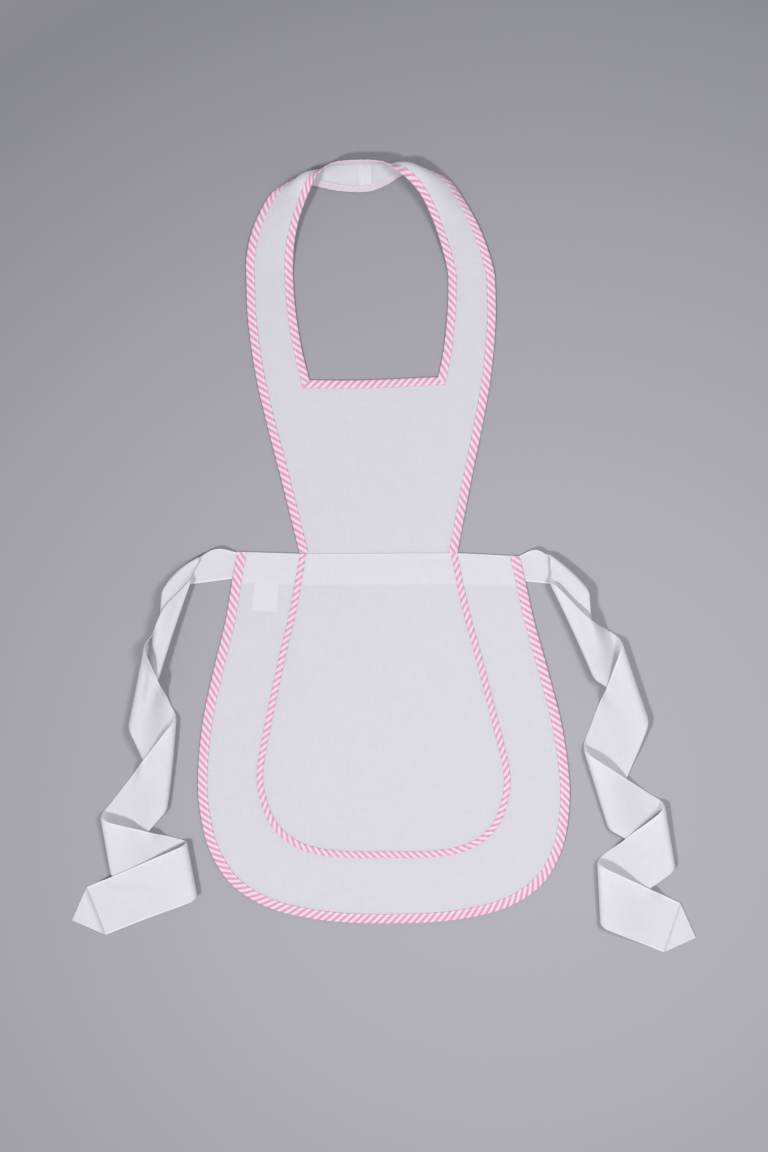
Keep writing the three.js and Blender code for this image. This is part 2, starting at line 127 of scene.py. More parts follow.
# Each tie is folded to and fro. A fold is where its upper and lower edges turn back, with the radius
# of the roll at each, and how far its middle bows out. Stretches are counted from the skirt: bulges says
# how far a stretch's upper edge billows out, and rises how high it stands where it comes to its fold.
LEFT_TIE = {
    "start": ((-157, 18), (-163, -10.6)),
    "bulges": {0: (-1, 8), 2: (-4.5, 3)},
    "rises": {0: 10, 1: 9},
    "folds": [
        ((-205.5, 13), (-243.8, -20.8), 1.6, 5, 4), ((-213.2, -13.8), (-250.1, -127.4), 1.8, 5, -1),
        ((-267.5, -86.5), (-285.5, -177.8), 7, 7, 0), ((-230.6, -170.9), (-241.3, -275.1), 7, 5, 1),
        ((-318.2, -282), (-306.8, -349.5), 8, 4, 0), ((-218.6, -311.7), (-206.7, -374.7), 7, 6, 0),
    ],
    "end": ((-334.6, -364.4), (-312.8, -418.9)),
    "tip": (-351.2, -402.2),
}
RIGHT_TIE = {
    "start": ((158, 13.8), (163.5, -13.8)),
    "bulges": {0: (1, 6.3), 2: (-2, -4.5)},
    "rises": {0: 6, 1: 6},
    "folds": [
        ((195, 16.5), (236.6, -20.9), 3, 6, 2), ((194, -16.3), (244.6, -126.2), 4, 4, -1),
        ((277.2, -81.6), (307.7, -170.9), 8, 7, 0), ((233.2, -206.4), (261.2, -295.7), 7, 4, 0),
        ((326.4, -268.2), (338.8, -340.4), 8, 5, 0), ((248.6, -334.6), (252.4, -406.8), 7, 5, 0),
    ],
    "end": ((344.8, -382.7), (325.8, -438.8)),
    "tip": (362.6, -422.2),
}


# ---------------------------------------------------------------- lines and heights

def centre_x(y):
    xs, ys = np.array(CENTRE_LINE).T
    return np.interp(y, ys, xs)


def curve_between(before, here, after, beyond, t):
    """Points on the smooth curve from here to after, at each share t of the way."""
    start, end = (after - before) / 2, (beyond - here) / 2
    return (
        (2 * here - 2 * after + start + end) * t ** 3
        + (3 * after - 3 * here - 2 * start - end) * t ** 2
        + start * t + here
    )


def smooth_line(stations, spacing):
    """Points about spacing apart along a smooth line through the stations."""
    points = np.array(stations, float)
    knots = np.vstack([points[:1], points, points[-1:]])
    steps = np.linspace(0, 1, 32, endpoint=False)[:, None]
    spans = [curve_between(*span, steps) for span in zip(knots, knots[1:], knots[2:], knots[3:])]
    return even_points(np.vstack([*spans, points[-1:]]), spacing)


def distances(line):
    """How far along the line each of its points is."""
    gaps = np.linalg.norm(np.diff(line, axis=0), axis=1)
    return np.concatenate([[0], np.cumsum(gaps)])


def even_points(line, spacing):
    along = distances(line)
    count = max(round(along[-1] / spacing), 1)
    wanted = np.linspace(0, along[-1], count + 1)
    return np.column_stack([np.interp(wanted, along, column) for column in line.T])


def straight_line(start, end):
    return even_points(np.array([start, end]), SPACING)


def side_line(stations, side):
    """A smooth edge of the apron, from its half widths. side is -1 on the left and 1 on the right."""
    line = smooth_line(stations, SPACING)
    return np.column_stack([side * line[:, 0] + centre_x(line[:, 1]), line[:, 1]])


def neck_line(side):
    """One side of the neck opening, starting from its tilted bottom edge."""
    line = side_line(NECK_SIDE, side)
    line[0, 1] += NECKLINE_TILT * line[0, 0]
    return line


def both_sides(stations):
    """From the top on the left, round the bottom, to the top on the right."""
    left, right = side_line(stations, -1), side_line(stations, 1)
    return np.vstack([left, right[::-1][1:]])


def left_normals(line):
    along = np.gradient(line, axis=0)
    along /= np.linalg.norm(along, axis=1)[:, None]
    return np.column_stack([-along[:, 1], along[:, 0]])


def ripple(x, y):
    """How far the relaxed apron's back stands off the floor at a place."""
    broad = noise.noise(Vector((x / 85, y / 110, 3.1)))
    small = noise.noise(Vector((x / 31 + 0.2 * broad, y / 44, 7.7)))
    return REST_GAP + BROAD_WAVE * broad + SMALL_WAVE * small


def on_cloth(points, height):
    """Flat points raised to a height above the relaxed apron's back."""
    return np.array([(x, y, height + ripple(x, y)) for x, y in points])


# ---------------------------------------------------------------- meshes

ROW_STEP = 0.87             # the height of a triangle of mesh, as a share of its width
CLEAR_OF_EDGE = 0.6         # how near the edge a point inside a panel may be, as a share of that width


def new_piece(name, points, faces, material, uvs=None, seams=None):
    """A smooth-shaded mesh. uvs holds each point's place on the flat cloth, and seams the same for
    stitching: how far along, and how far from the row of stitches."""
    mesh = bpy.data.meshes.new(name)
    places = [tuple(p) for p in np.array(points) * MM]
    mesh.from_pydata(places, [], [tuple(map(int, f)) for f in faces])
    corners = np.zeros(len(mesh.loops), int)
    mesh.loops.foreach_get("vertex_index", corners)
    for layer, values in (("cloth", uvs), ("seam", seams)):
        if values is not None:
            uv = mesh.uv_layers.new(name=layer)
            uv.data.foreach_set("uv", (np.array(values, float)[corners] * MM).ravel())
    mesh.shade_smooth()
    mesh.materials.append(material)
    obj = bpy.data.objects.new(name, mesh)
    bpy.context.scene.collection.objects.link(obj)
    return obj


def grid_piece(name, grid, material, uvs=None, seams=None):
    """A sheet whose points are in rows and columns."""
    grid = np.array(grid)
    rows, columns = grid.shape[:2]
    corner = np.arange(rows * columns).reshape(rows, columns)
    faces = np.stack([corner[:-1, :-1], corner[:-1, 1:], corner[1:, 1:], corner[1:, :-1]], axis=-1)
    flat = [None if v is None else np.array(v).reshape(-1, 2) for v in (uvs, seams)]
    return new_piece(name, grid.reshape(-1, 3), faces.reshape(-1, 4), material, *flat)


def inside(points, outline):
    """Which of the points are inside the closed outline."""
    x, y = points[:, :1], points[:, 1:]
    a, b = outline, np.roll(outline, -1, axis=0)
    spans = (a[:, 1] > y) != (b[:, 1] > y)
    rise = np.where(a[:, 1] == b[:, 1], 1, b[:, 1] - a[:, 1])
    crossing = (b[:, 0] - a[:, 0]) * (y - a[:, 1]) / rise + a[:, 0]
    return (spans & (x < crossing)).sum(axis=1) % 2 == 1


def cloth_panel(name, outline, height, material):
    """A flat piece of cloth filled with an even mesh of triangles."""
    low, high = outline.min(axis=0), outline.max(axis=0)
    rows = np.arange(low[1], high[1], SPACING * ROW_STEP)
    fill = np.array([
        (x + SPACING / 2 * (i % 2), y)
        for i, y in enumerate(rows) for x in np.arange(low[0], high[0], SPACING)
    ])
    fill = fill[inside(fill, outline)]
    nearest = np.linalg.norm(fill[:, None] - outline[None], axis=2).min(axis=1)
    fill = fill[nearest > SPACING * CLEAR_OF_EDGE]
    points = [Vector(p) for p in np.vstack([outline, fill])]
    verts, _, faces, *_ = delaunay_2d_cdt(points, [], [list(range(len(outline)))], 1, 1e-4)
    flat = np.array([tuple(v) for v in verts])
    return new_piece(name, on_cloth(flat, height), faces, material, uvs=flat)


def binding_profile(width):
    """The wrapped strip seen end on, from the front's sewn edge round to the back's: how far in from
    the raw edge, how high above the middle of the cloth, how far round from the fold, and 1 where it
    is on the wrong side of the cloth."""
    bend = FOLD_OVER * math.pi / 2
    front = [
        (width, 0.12), (width - 0.15, 0.5), (width - 0.7, 0.68), (width - 1.6, 0.62),
        (width * 0.55, 0.82), (1.6, 0.8), (0.3, 0.66), (-0.3, 0.42),
    ]
    back = [(-0.3, -0.42), (0.3, -0.62), (1.6, -0.66), (width - 0.7, -0.62), (width, -0.5)]
    return (
        [(a, n, a + bend, 0) for a, n in front]
        + [(-FOLD_OVER, 0, 0, 0)]
        + [(a, n, -a - bend, 1) for a, n in back]
    )


def binding_piece(name, grid, along, profile, width, side, slants):
    """A binding's mesh. slants holds how far each row runs on along the edge for each unit inward."""
    places = [[s + a * slant for a, *_ in profile] for s, slant in zip(along, slants)]
    round_fold = [t for _, _, t, _ in profile]
    uvs = [[(s, side * t) for s, t in zip(row, round_fold)] for row in places]
    seams = [[(s, abs(t) - width + STITCH_INSET) for s, t in zip(row, round_fold)] for row in places]
    obj = grid_piece(name, grid, striped_cotton, uvs, seams)
    wrong = obj.data.attributes.new("wrong_side", "FLOAT", "POINT")
    wrong.data.foreach_set("value", [w for _ in along for _, _, _, w in profile])
    obj["end"] = float(along[-1])
    return obj


def binding(name, edge, cloth_side, width, start=0, first=None, last=None):
    """A binding over a raw edge on the floor. cloth_side is 1 where the cloth is on the left of the
    way the edge runs. first and last are inward directions that cut an end to a mitre."""
    inward = cloth_side * left_normals(edge)
    ahead = cloth_side * np.column_stack([inward[:, 1], -inward[:, 0]])
    if first is not None:
        inward[0] = first
    if last is not None:
        inward[-1] = last
    profile = binding_profile(width)
    grid = []
    for point, into in zip(edge, inward):
        spots = [(*(point + into * a), n) for a, n, _, _ in profile]
        grid.append([(x, y, CLOTH_Z + n + ripple(x, y)) for x, y, n in spots])
    slants = (inward * ahead).sum(axis=1)
    return binding_piece(name, grid, start + distances(edge), profile, width, cloth_side, slants)


def cut_level(side):
    """The inward direction that ends a binding level across the apron."""
    return np.array([side, 0.0])


def mitre(first, second):
    """The inward direction, at the corner, of two bindings that meet there."""
    return (first + second) / (1 + first @ second)


# ---------------------------------------------------------------- materials

STITCH_PITCH = 2.4          # from one stitch to the next
STITCH_SHARE = 0.72         # how much of that the thread shows for
THREAD_HALF = 0.22          # half a thread's thickness
THREAD = (0.80, 0.74, 0.77, 1)
LINING = (0.565, 0.528, 0.565, 1)
PINK = (0.655, 0.305, 0.435, 1)
PINK_DEEP = (0.60, 0.26, 0.395, 1)
PALE = (0.68, 0.54, 0.61, 1)
PALE_BRIGHT = (0.725, 0.60, 0.665, 1)


def node_tree(name):
    material = bpy.data.materials.new(name)
    material.use_nodes = True
    tree = material.node_tree
    return material, tree, tree.nodes["Principled BSDF"]


def add_node(tree, kind, inputs=None, **settings):
    """A node with its settings and its inputs: a value, or another node's output to join up."""
    node = tree.nodes.new(kind)
    for key, value in settings.items():
        setattr(node, key, value)
    for key, value in (inputs or {}).items():
        if isinstance(value, bpy.types.NodeSocket):
            tree.links.new(value, node.inputs[key])
        else:
            node.inputs[key].default_value = value
    return node


def math_node(tree, operation, *values):
    return add_node(tree, "ShaderNodeMath", dict(enumerate(values)), operation=operation).outputs[0]


def weave_height(tree, uv, pitch):
    """Plain weave: threads that pass over and under each other, pitch metres apart."""
    frequency = math.tau / pitch
    split = add_node(tree, "ShaderNodeSeparateXYZ", {0: uv})
    warp = math_node(tree, "SINE", math_node(tree, "MULTIPLY", split.outputs["X"], frequency))
    weft = math_node(tree, "SINE", math_node(tree, "MULTIPLY", split.outputs["Y"], frequency))
    return math_node(tree, "MULTIPLY", warp, weft)


def slubs(tree, uv, detail_scale):
    """Uneven threads both ways, as long thin streaks from 0 to 1."""
    streaks = []
    for stretch in ((1, 0.09, 1), (0.09, 1, 1)):
        stretched = add_node(tree, "ShaderNodeMapping", {"Vector": uv, "Scale": stretch})
        noise_node = add_node(tree, "ShaderNodeTexNoise", {
            "Vector": stretched.outputs[0], "Scale": detail_scale, "Detail": 3.0, "Roughness": 0.6,
        })
        streaks.append(noise_node.outputs["Fac"])
    return math_node(tree, "MULTIPLY", math_node(tree, "ADD", *streaks), 0.5)


def cloth_bump(tree, shader, uv, weave_pitch, strength):
    weave = weave_height(tree, uv, weave_pitch)
    crumple = add_node(tree, "ShaderNodeTexNoise", {"Vector": uv, "Scale": 55.0, "Detail": 4.0})
    soft = add_node(tree, "ShaderNodeBump", {
        "Height": crumple.outputs["Fac"], "Strength": 0.35, "Distance": 0.0012,
    })
    fine = add_node(tree, "ShaderNodeBump", {
        "Height": weave, "Strength": strength, "Distance": 0.0001, "Normal": soft.outputs[0],
    })
    tree.links.new(fine.outputs[0], shader.inputs["Normal"])


def white_cotton(name, low, high, see_through):
    """Thin ironed cotton lawn with faint slubs, which lets a share of the light through."""
    material, tree, shader = node_tree(name)
    uv = add_node(tree, "ShaderNodeUVMap", uv_map="cloth").outputs[0]
    colour = add_node(tree, "ShaderNodeMixRGB", {
        "Fac": slubs(tree, uv, 420.0), "Color1": low, "Color2": high,
    })
    tree.links.new(colour.outputs[0], shader.inputs["Base Color"])
    shader.inputs["Roughness"].default_value = 0.9
    shader.inputs["Specular IOR Level"].default_value = 0.2
    shader.inputs["Sheen Weight"].default_value = 0.08
    shader.inputs["Sheen Roughness"].default_value = 0.6
    cloth_bump(tree, shader, uv, weave_pitch=0.0011, strength=0.5)
    glow = add_node(tree, "ShaderNodeBsdfTranslucent", {"Color": colour.outputs[0]})
    both = add_node(tree, "ShaderNodeMixShader", {
        0: see_through, 1: shader.outputs[0], 2: glow.outputs[0],
    })
    tree.links.new(both.outputs[0], tree.nodes["Material Output"].inputs["Surface"])
    return material


def stitches(tree):
    """1 on the row of stitches along a binding and 0 elsewhere."""
    seam = add_node(tree, "ShaderNodeUVMap", uv_map="seam").outputs[0]
    split = add_node(tree, "ShaderNodeSeparateXYZ", {0: seam})
    along = math_node(tree, "MULTIPLY", split.outputs["X"], 1 / (STITCH_PITCH * MM))
    dash = math_node(tree, "LESS_THAN", math_node(tree, "FRACT", along), STITCH_SHARE)
    off_row = math_node(tree, "ABSOLUTE", split.outputs["Y"])
    return math_node(tree, "MULTIPLY", dash, math_node(tree, "LESS_THAN", off_row, THREAD_HALF * MM))


def striped(name):
    """Bias-cut cotton: pink and white stripes at a slant, with a row of white stitches. Its wrong side
    is much paler."""
    material, tree, shader = node_tree(name)
    uv = add_node(tree, "ShaderNodeUVMap", uv_map="cloth").outputs[0]
    split = add_node(tree, "ShaderNodeSeparateXYZ", {0: uv})
    slanted = math_node(tree, "SUBTRACT", split.outputs["X"], split.outputs["Y"])
    phase = math_node(tree, "FRACT", math_node(tree, "MULTIPLY", slanted, 1 / (STRIPE_PITCH * MM)))
    from_middle = math_node(tree, "ABSOLUTE", math_node(tree, "SUBTRACT", phase, 0.5))
    pink = add_node(tree, "ShaderNodeMapRange", {
        "Value": from_middle, "From Min": 0.20, "From Max": 0.29, "To Min": 1.0, "To Max": 0.0,
    }).outputs[0]
    threads = slubs(tree, uv, 500.0)
    pinks = add_node(tree, "ShaderNodeMixRGB", {"Fac": threads, "Color1": PINK_DEEP, "Color2": PINK})
    whites = add_node(tree, "ShaderNodeMixRGB", {"Fac": threads, "Color1": PALE, "Color2": PALE_BRIGHT})
    stripes = add_node(tree, "ShaderNodeMixRGB", {
        "Fac": pink, "Color1": whites.outputs[0], "Color2": pinks.outputs[0],
    })
    wrong_side = add_node(tree, "ShaderNodeAttribute", attribute_name="wrong_side").outputs["Fac"]
    faded = add_node(tree, "ShaderNodeMixRGB", {
        "Fac": math_node(tree, "MULTIPLY", wrong_side, 0.92), "Color1": stripes.outputs[0], "Color2": LINING,
    })
    thread = add_node(tree, "ShaderNodeMixRGB", {
        "Fac": math_node(tree, "MULTIPLY", wrong_side, 0.45), "Color1": THREAD, "Color2": PINK,
    })
    sewn = add_node(tree, "ShaderNodeMixRGB", {
        "Fac": math_node(tree, "MULTIPLY", stitches(tree), 0.6),
        "Color1": faded.outputs[0], "Color2": thread.outputs[0],
    })
    tree.links.new(sewn.outputs[0], shader.inputs["Base Color"])
    shader.inputs["Roughness"].default_value = 0.85
    shader.inputs["Specular IOR Level"].default_value = 0.25
    shader.inputs["Sheen Weight"].default_value = 0.1
    cloth_bump(tree, shader, uv, weave_pitch=0.0009, strength=0.5)
    return material


def satin(name):
    """White ribbon satin: fine glossy threads along its length."""
    material, tree, shader = node_tree(name)
    uv = add_node(tree, "ShaderNodeUVMap", uv_map="cloth").outputs[0]
    colour = add_node(tree, "ShaderNodeMixRGB", {
        "Fac": slubs(tree, uv, 900.0), "Color1": (0.58, 0.58, 0.61, 1), "Color2": (0.66, 0.66, 0.68, 1),
    })
    tree.links.new(colour.outputs[0], shader.inputs["Base Color"])
    shader.inputs["Roughness"].default_value = 0.38
    shader.inputs["Sheen Weight"].default_value = 0.15
    cloth_bump(tree, shader, uv, weave_pitch=0.0005, strength=0.4)
    return material


body_cotton = white_cotton("body_cotton", (0.79, 0.78, 0.82, 1), (0.91, 0.90, 0.94, 1), 0.4)
tie_cotton = white_cotton("tie_cotton", (0.70, 0.69, 0.73, 1), (0.805, 0.795, 0.835, 1), 0.25)
doubled_cotton = white_cotton("doubled_cotton", (0.70, 0.69, 0.73, 1), (0.81, 0.80, 0.84, 1), 0.12)
label_satin = satin("label_satin")
striped_cotton = striped("striped_bias_cotton")

# ---------------------------------------------------------------- turned edges

# A narrow hem seen end on, from the front round to the back: how far in from the edge, and how high.
HEM_PROFILE = [
    (HEM, 0.08), (HEM - 0.3, 0.3), (1.3, 0.36), (0.2, 0.3),
    (-0.25, 0), (0.2, -0.3), (1.3, -0.36), (HEM, -0.3),
]


def hem_along(name, edge, inward, normals, material):
    """The turned-in edge of a sheet, from rows of points and directions."""
    inward = inward / np.linalg.norm(inward, axis=1)[:, None]
    rows = [[e + i * a + n * h for a, h in HEM_PROFILE] for e, i, n in zip(edge, inward, normals)]
    along = distances(edge)
    uvs = [[(a, s) for a, _ in HEM_PROFILE] for s in along]
    return grid_piece(name, rows, material, uvs)


# ---------------------------------------------------------------- skirt

skirt_edge = both_sides(SKIRT_SIDE)
skirt_top = straight_line(skirt_edge[-1], skirt_edge[0])[1:-1]
skirt_outline = np.vstack([skirt_edge, skirt_top])
skirt = cloth_panel("skirt", skirt_outline, CLOTH_Z, body_cotton)
skirt_binding = binding(
    "skirt_edge_binding", skirt_edge, 1, SKIRT_BINDING, first=cut_level(1), last=cut_level(-1),
)

# The trim seen end on: how far across it, with its edges at -1 and 1, and how high.
TRIM_PROFILE = [(-1, 0.02), (-0.97, 0.4), (-0.8, 0.5), (0, 0.55), (0.8, 0.5), (0.97, 0.4), (1, 0.02)]
HALF_TRIM = TRIM_WIDTH / 2
TRIM_Z = CLOTH_Z + LAYER / 2


def flat_trim(name):
    """The U of trim on the skirt's front, with its one row of stitches down the middle."""
    line = both_sides(TRIM_SIDE)
    sideways = left_normals(line)
    sideways[0], sideways[-1] = cut_level(1), cut_level(-1)
    grid, uvs = [], []
    for point, way, along in zip(line, sideways, distances(line)):
        flat = [point + way * HALF_TRIM * a for a, _ in TRIM_PROFILE]
        grid.append([(x, y, TRIM_Z + n + ripple(x, y)) for (x, y), (_, n) in zip(flat, TRIM_PROFILE)])
        uvs.append([(along, TRIM_SLANT * HALF_TRIM * a) for a, _ in TRIM_PROFILE])
    return grid_piece(name, grid, striped_cotton, uvs, uvs)


# The waistband seen end on: the Y and the height of each point, from one turned-in edge to the other.
WAISTBAND_FOLDS = [
    (12.3, 0.12), (15, 0.12), (17.6, 0.14), (18, 0.28), (17.6, 0.42),
    (12, 0.44), (6, 0.44), (0, 0.44), (-6, 0.44), (-12, 0.44),
    (-17.6, 0.42), (-18, 0.28), (-17.6, 0.14), (-14, 0.12), (-9.5, 0.12),
]
WAISTBAND_SIDE = ([-14, WAIST_Y], [167.5, 161])     # the skirt's half width beside it, from its Y


def strip_behind(name):
    """The waistband, which lies across behind the skirt from one side binding to the other."""
    columns = np.linspace(-1, 1, 81)
    grid, uvs = [], []
    for (y, z), v in zip(WAISTBAND_FOLDS, distances(np.array(WAISTBAND_FOLDS, float))):
        half = float(np.interp(y, *WAISTBAND_SIDE)) - SKIRT_BINDING
        row = [c * half + centre_x(y) for c in columns]
        grid.append([(x, y, z + ripple(x, y)) for x in row])
        uvs.append([(x, v) for x in row])
    return grid_piece(name, grid, body_cotton, uvs)


def turned_top(name):
    """The skirt's top edge, turned under between the side bindings."""
    edge = on_cloth(skirt_top[1:-1], CLOTH_Z)
    down_the_skirt = np.tile((0, -1.0, 0), (len(edge), 1))
    out_of_the_cloth = np.tile((0, 0, 1.0), (len(edge), 1))
    return hem_along(name, edge, down_the_skirt, out_of_the_cloth, body_cotton)


skirt_trim = flat_trim("skirt_u_trim")
waistband = strip_behind("waistband_strip")
top_fold = turned_top("skirt_top_fold")


def waist_shift(x, y):
    """How far up the top of the skirt wanders from straight."""
    return float(np.interp(x, *zip(*WAIST_LINE))) * min(max(1 + y / WAIST_REACH, 0), 1)


for obj in (skirt, skirt_binding, skirt_trim, waistband, top_fold):
    for vertex in obj.data.vertices:
        vertex.co.y += MM * waist_shift(vertex.co.x / MM, vertex.co.y / MM)

# ---------------------------------------------------------------- care label

LABEL_WIDTH = 28
LABEL_LENGTH = 37.5
LABEL_X = -128              # the middle of its top edge
LABEL_TOP = -11.5
LABEL_TILT = math.radians(-5)
LABEL_Z = 0.62              # it lies behind the skirt, between the floor and the cloth


def care_label(name):
    """A plain satin label behind the skirt, with its top under the waistband."""
    along, down = math.cos(LABEL_TILT), math.sin(LABEL_TILT)
    grid = []
    for v in np.linspace(0, LABEL_LENGTH, 12):
        row = [
            (LABEL_X + u * along + v * down, LABEL_TOP + u * down - v * along)
            for u in np.linspace(-LABEL_WIDTH / 2, LABEL_WIDTH / 2, 9)
        ]
        grid.append(row)
    raised = [[(x, y, LABEL_Z + ripple(x, y)) for x, y in row] for row in grid]
    return grid_piece(name, raised, label_satin, grid)


label = care_label("care_label_satin")

# ---------------------------------------------------------------- bib

left_bib, right_bib = side_line(BIB_SIDE, -1), side_line(BIB_SIDE, 1)
left_neck, right_neck = neck_line(-1), neck_line(1)
lowest = (1 - NECKLINE_LOW) * left_neck[0] + NECKLINE_LOW * right_neck[0] - (0, NECKLINE_SAG)
neckline = smooth_line([left_neck[0], lowest, right_neck[0]], SPACING)
bib_outline = np.vstack([
    straight_line((-BIB_FOOT, WAIST_Y - TUCK), (BIB_FOOT, WAIST_Y - TUCK)),
    right_bib, straight_line(right_bib[-1], right_neck[-1])[1:-1],
    right_neck[::-1], neckline[::-1][1:-1], left_neck,
    straight_line(left_neck[-1], left_bib[-1])[1:-1], left_bib[::-1],
])
bib = cloth_panel("bib", bib_outline, CLOTH_Z, body_cotton)
for vertex in bib.data.vertices:
    tucked = np.clip((WAIST_Y + TUCK_START - vertex.co.y / MM) / TUCK_START, 0, 1)
    vertex.co.z -= LAYER * MM * tucked

below_neckline = np.array([NECKLINE_TILT, -1]) / math.hypot(NECKLINE_TILT, 1)
left_corner = mitre(left_normals(left_neck)[0], below_neckline)
right_corner = mitre(-left_normals(right_neck)[0], below_neckline)
bib_left = binding("bib_edge_left", left_bib, -1, BIB_BINDING, first=cut_level(1), last=cut_level(1))
neck_left = binding(
    "neck_edge_left", left_neck, 1, NECK_BINDING, first=left_corner, last=cut_level(-1),
)
neck_bottom = binding(
    "neck_edge_bottom", neckline, -1, NECK_BINDING, first=left_corner, last=right_corner,
)

# ---------------------------------------------------------------- the straps behind the neck


def flat_pair(side, inner_half, outer_half, y):
    return (side * inner_half + centre_x(y), y, 0), (side * outer_half + centre_x(y), y, 0)


def shoulder_pair(side):
    return flat_pair(side, NECK_SIDE[-1][0], BIB_SIDE[-1][0], ROLL_Y)


def pair_below(side):
    return flat_pair(side, NECK_SIDE[-2][0], BIB_SIDE[-2][0], NECK_SIDE[-2][1])


# All the pairs of points the strap goes through, with two on the flat bib at each end.
loop_pairs = (
    [pair_below(-1), shoulder_pair(-1)]
    + [(inner, (*outer, EDGE_LIFT)) for inner, outer in LOOP]
    + [shoulder_pair(1), pair_below(1)]
)
back_pair = BACK_SEAM + 2
LAST_PAIR = len(loop_pairs) - 1
LOOP_STEPS = 12             # rows of mesh from one pair of points to the next
SHARES = np.linspace(0, 1, 15)


def curve_points(points, where):
    """Points on the smooth curve through the points, which are one unit of where apart."""
    points = np.array(points, float)
    index = np.clip(np.floor(where).astype(int), 0, len(points) - 2)
    before, beyond = points[np.maximum(index - 1, 0)], points[np.minimum(index + 2, len(points) - 1)]
    return curve_between(before, points[index], points[index + 1], beyond, (where - index)[:, None])


def strap_surface(where, shares):
    """Points of the strap at each place along it and share of the way from its inner edge to its
    outer, and its front normals there."""
    inner = curve_points([pair[0] for pair in loop_pairs], where)
    outer = curve_points([pair[1] for pair in loop_pairs], where)
    across = outer - inner
    chord = np.linalg.norm(across, axis=1)
    from_back = np.minimum(np.abs(where - back_pair) / (back_pair - 1), 1)
    width = BACK_WIDTH + (STRAP_WIDTH - BACK_WIDTH) * from_back ** 2
    slack = np.maximum(width / chord - 1, 0)
    bow = chord * np.sqrt(3 / 8 * slack)        # how far a shallow arc that much longer stands out
    front = np.cross(np.gradient(inner + outer, axis=0), across)
    front /= np.linalg.norm(front, axis=1)[:, None]
    control = (inner + outer) / 2 + front * (2 * bow)[:, None]
    s = np.array(shares)[None, :, None]
    grid = inner[:, None] * (1 - s) ** 2 + control[:, None] * 2 * s * (1 - s) + outer[:, None] * s ** 2
    normals = np.cross(np.gradient(grid, axis=0), np.gradient(grid, axis=1))
    normals /= np.linalg.norm(normals, axis=2)[..., None]
    return grid, normals


def settle(grid):
    """Points of the straps, raised from the flat to where the relaxed cloth lies."""
    lifted = np.array(grid)
    lifted[..., 2] += [[CLOTH_Z + ripple(x, y) for x, y, _ in row] for row in grid]
    return lifted


def places_along(start, end):
    """Places for the rows of mesh from one pair of points to another."""
    return np.linspace(start, end, round((end - start) * LOOP_STEPS) + 1)


def loop_half(name, start, end):
    """Half the turned-over strap, from one pair of points to another."""
    grid, _ = strap_surface(places_along(start, end), SHARES)
    along = distances(grid.mean(axis=1))
    uvs = [[(share * STRAP_WIDTH, s) for share in SHARES] for s in along]
    obj = grid_piece(name, settle(grid), body_cotton, uvs)
    obj["length"] = float(along[-1])
    return obj


# A seam allowance from the seam to its raw edge: how far along, in pairs of points, and how deep.
ALLOWANCE_ROWS = np.array([
    (0, 0.05), (0.025, 0.3), (0.06, 0.38), (0.14, 0.38), (0.22, 0.38), (0.27, 0.36), (0.275, 0),
])


def seam_allowance(name, side):
    """The raw end of half a strap, turned back and pressed flat on the wrong side of the centre-back
    seam."""
    rows = ALLOWANCE_ROWS if side > 0 else ALLOWANCE_ROWS[::-1]
    grid, normals = strap_surface(back_pair + side * rows[:, 0], SHARES[1:-1])
    grid = settle(grid - normals * rows[:, 1, None, None])
    along = distances(grid.mean(axis=1))
    uvs = [[(share * STRAP_WIDTH, s) for share in SHARES[1:-1]] for s in along]
    return grid_piece(name, grid, tie_cotton, uvs)


def loop_binding(name, from_inner, width, start):
    """A binding along one edge of the turned-over straps, from the left shoulder to the right."""
    where = places_along(1, LAST_PAIR - 1)
    profile = binding_profile(width)
    shares = [a / STRAP_WIDTH if from_inner else 1 - a / STRAP_WIDTH for a, *_ in profile]
    heights = np.array([[n] for _, n, _, _ in profile])
    fine = np.linspace(-0.02, 1.02, 105)
    rows = []
    for points, ups in zip(*strap_surface(where, fine)):
        place, up = (np.column_stack([np.interp(shares, fine, c) for c in v.T]) for v in (points, ups))
        rows.append(place + up * heights)
    rows = np.array(rows)
    along = start + distances(rows[:, FOLD_COLUMN])
    side = 1 if from_inner else -1
    return binding_piece(name, settle(rows), along, profile, width, side, np.zeros(len(along)))


loop_left = loop_half("neck_strap_left", 1, back_pair)
loop_right = loop_half("neck_strap_right", back_pair, LAST_PAIR - 1)
left_allowance = seam_allowance("neck_strap_left_allowance", -1)
right_allowance = seam_allowance("neck_strap_right_allowance", 1)
loop_inner = loop_binding("neck_strap_inner_edge", True, NECK_BINDING, neck_left["end"])
loop_outer = loop_binding("neck_strap_outer_edge", False, BIB_BINDING, bib_left["end"])

bib_right = binding(
    "bib_edge_right", right_bib[::-1], -1, BIB_BINDING, loop_outer["end"],
    first=cut_level(-1), last=cut_level(-1),
)
neck_right = binding(
    "neck_edge_right", right_neck[::-1], 1, NECK_BINDING, loop_inner["end"],
    first=cut_level(1), last=right_corner,
)

# ---------------------------------------------------------------- ties

